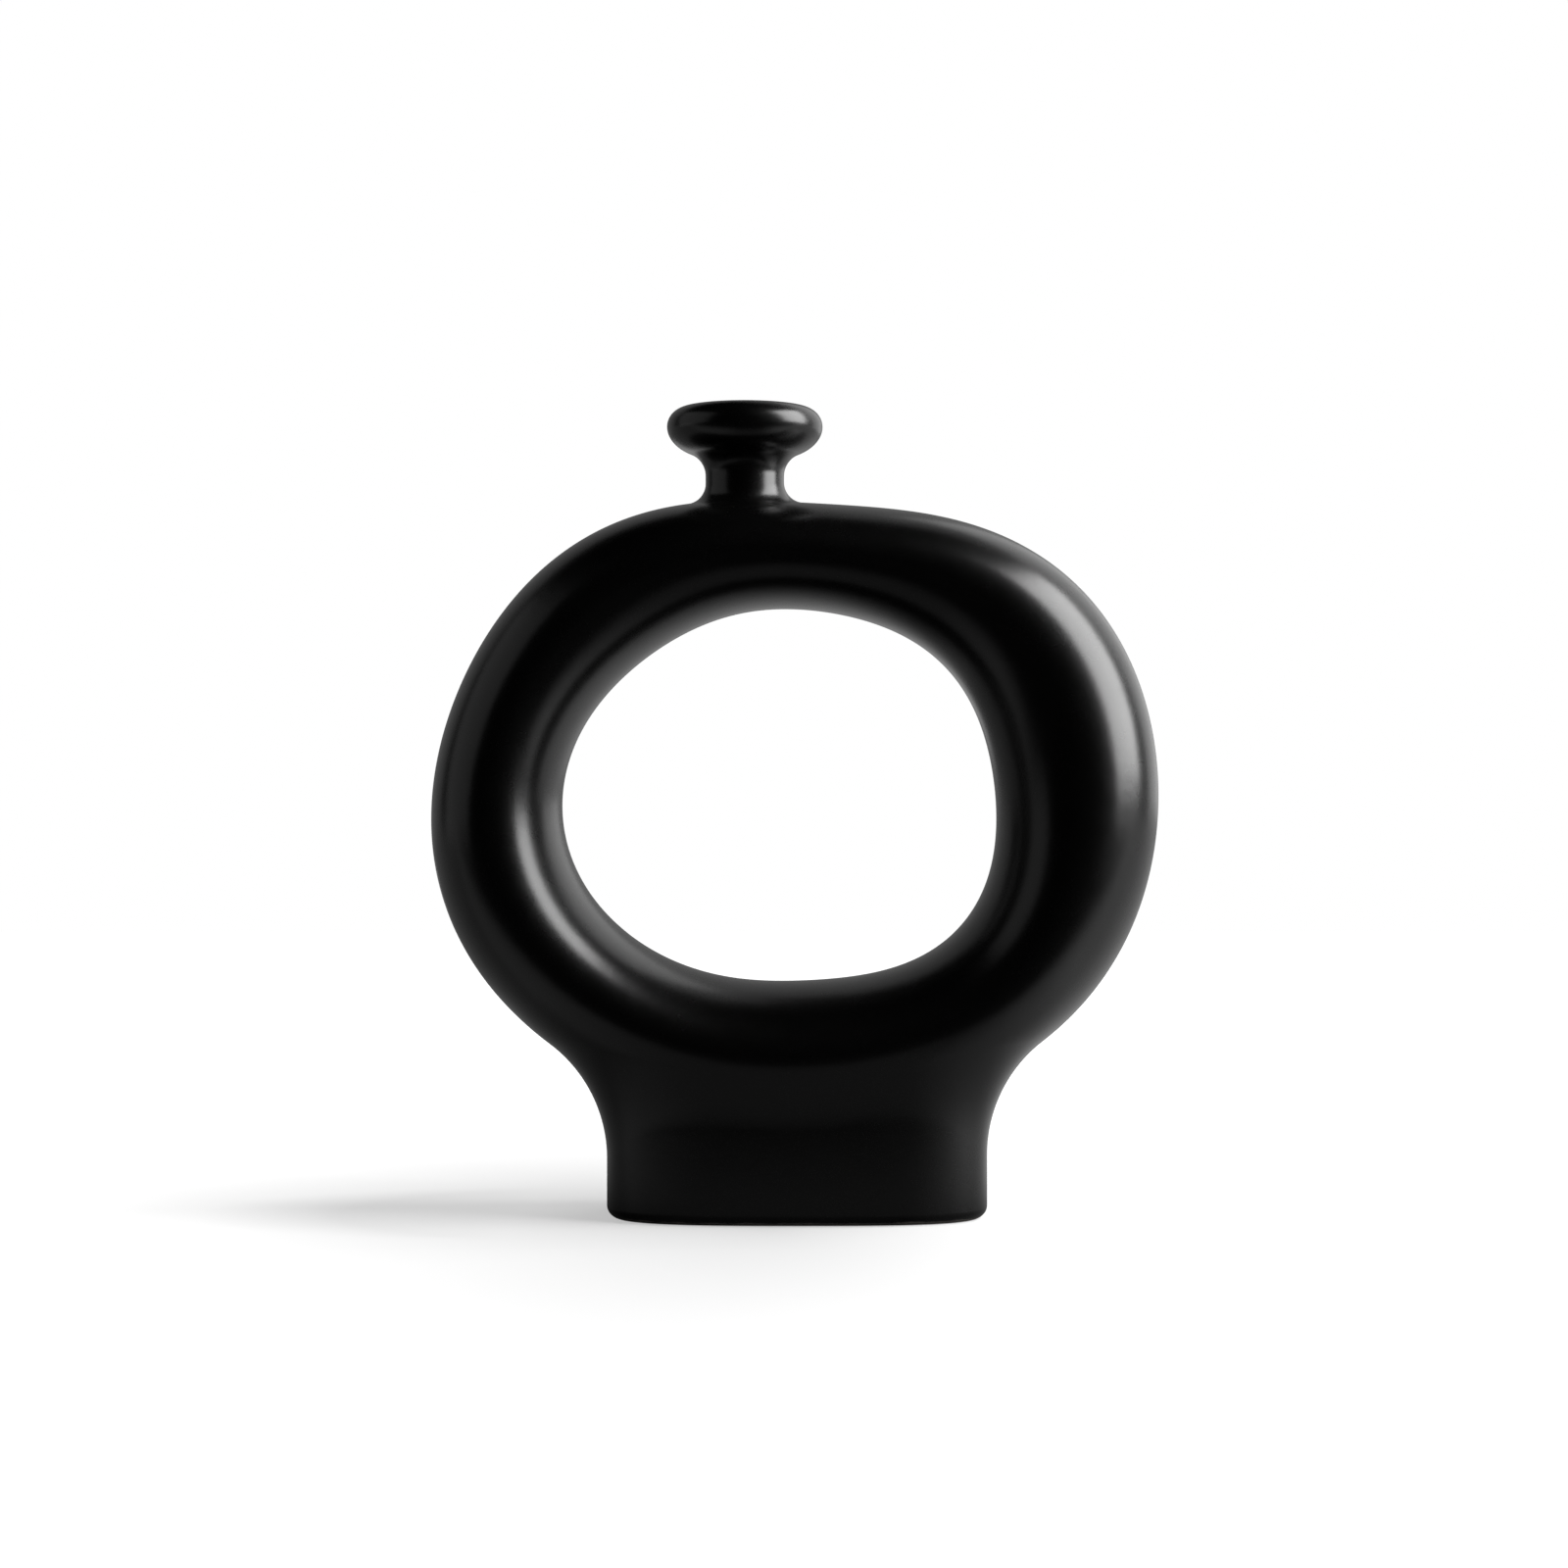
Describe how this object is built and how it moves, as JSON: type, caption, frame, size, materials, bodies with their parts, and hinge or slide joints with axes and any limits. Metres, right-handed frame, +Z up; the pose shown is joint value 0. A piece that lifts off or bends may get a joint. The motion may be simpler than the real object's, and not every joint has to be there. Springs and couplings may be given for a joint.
{
  "type": "donut vase",
  "caption": "Upright hollow ring vase in black glazed stoneware, with a short off-centre neck, a thick rolled lip and a flared oval foot, for a few stems.",
  "frame": {"origin": "on the table, under the middle of the vase's outline", "axes": "+Z up, the ring stands in the XZ plane, and the front faces -Y"},
  "size_m": [0.2239, 0.066, 0.2487],
  "materials": {
    "black_glaze": "satin gloss",
    "bare_clay": "unglazed",
    "fired_slip": "fired slip"
  },
  "bodies": {
    "root": {"ring_front": "black_glaze", "ring_back": "black_glaze", "foot_wall": "black_glaze", "foot_floor": "bare_clay", "neck": "black_glaze", "lip": "black_glaze", "left_seam": "fired_slip", "right_seam": "fired_slip", "hole_seam": "fired_slip", "foot_seam": "fired_slip", "floor_seam": "fired_slip", "neck_seam": "fired_slip", "lip_seam": "fired_slip"}
  },
  "joints": []
}
